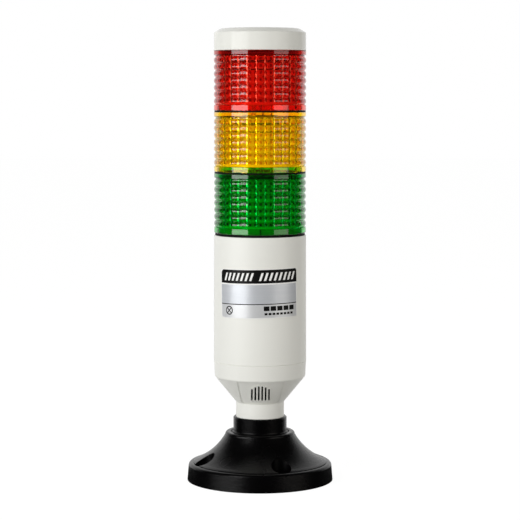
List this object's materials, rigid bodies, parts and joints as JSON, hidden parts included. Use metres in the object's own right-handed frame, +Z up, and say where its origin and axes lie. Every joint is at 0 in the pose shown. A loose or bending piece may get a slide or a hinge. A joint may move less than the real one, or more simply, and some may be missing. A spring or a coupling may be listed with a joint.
{
  "type": "stack light",
  "caption": "Signal tower with three stacked ribbed light tiers on a tube with a buzzer grille, on a round flanged base.",
  "frame": {"origin": "centre of the base's underside, on the surface that the base stands on", "axes": "+Z up along the tower's axis; the buzzer grille and the nameplate face -Y; +X to the right seen from the front"},
  "size_m": [0.0896, 0.0894, 0.2768],
  "materials": {
    "base_black": "fine moulded grain",
    "nut_black": "moulded",
    "ivory": "satin moulded",
    "seal_rubber": "smooth black rubber",
    "plated_steel": "zinc plated",
    "buzzer_black": "moulded",
    "contact_brass": "bright",
    "lead_red": "insulation",
    "plate_silver": "brushed silver film with a black band",
    "carrier_white": "moulded",
    "board_green": "solder mask",
    "board_white": "white solder mask",
    "terminal_green": "moulded",
    "capacitor_black": "sleeve",
    "led_clear": "clear resin",
    "lens_green": "clear coloured polycarbonate, ribbed",
    "lens_amber": "clear coloured polycarbonate, ribbed",
    "lens_red": "clear coloured polycarbonate, ribbed"
  },
  "bodies": {
    "root": {"base_stand": "base_black", "clamp_washer": "plated_steel", "clamp_nut": "nut_black", "neck_gasket": "seal_rubber", "bottom_cover": "ivory", "cover_oring": "seal_rubber", "buzzer_case": "buzzer_black", "buzzer_diaphragm": "contact_brass", "buzzer_leads": "lead_red", "body_tube": "ivory", "body_seal": "seal_rubber", "nameplate": "plate_silver", "board_carrier": "carrier_white", "control_board": "board_green", "contact_header": "buzzer_black", "buzzer_socket": "carrier_white", "header_pins": "contact_brass", "terminal_block": "terminal_green", "terminal_screws": "plated_steel", "capacitors": "capacitor_black", "supply_module": "buzzer_black", "driver_chips": "buzzer_black", "body_contact_board": "board_green", "body_contact_tracks": "contact_brass"},
    "green_tier": {"green_lens": "lens_green", "green_lamp_carrier": "carrier_white", "green_led_board": "board_white", "green_leds": "led_clear", "green_contact_pins": "contact_brass", "green_contact_board": "board_green", "green_contact_tracks": "contact_brass", "green_seal": "seal_rubber"},
    "amber_tier": {"amber_lens": "lens_amber", "amber_lamp_carrier": "carrier_white", "amber_led_board": "board_white", "amber_leds": "led_clear", "amber_contact_pins": "contact_brass", "amber_contact_board": "board_green", "amber_contact_tracks": "contact_brass", "amber_seal": "seal_rubber"},
    "red_tier": {"red_lens": "lens_red", "red_lamp_carrier": "carrier_white", "red_led_board": "board_white", "red_leds": "led_clear", "red_contact_pins": "contact_brass", "red_contact_board": "board_green", "red_contact_tracks": "contact_brass", "cap_seal": "seal_rubber"},
    "cap": {"top_cap": "ivory"}
  },
  "joints": [
    {"name": "green_twist", "type": "hinge", "parent": "root", "child": "green_tier", "pos_m": [0, 0, 0.1525], "axis": [0, 0, 1], "range_deg": [0, 15]},
    {"name": "amber_twist", "type": "hinge", "parent": "green_tier", "child": "amber_tier", "pos_m": [0, 0, 0.1895], "axis": [0, 0, 1], "range_deg": [0, 15]},
    {"name": "red_twist", "type": "hinge", "parent": "amber_tier", "child": "red_tier", "pos_m": [0, 0, 0.2265], "axis": [0, 0, 1], "range_deg": [0, 15]},
    {"name": "cap_twist", "type": "hinge", "parent": "red_tier", "child": "cap", "pos_m": [0, 0, 0.2626], "axis": [0, 0, 1], "range_deg": [0, 15]}
  ]
}
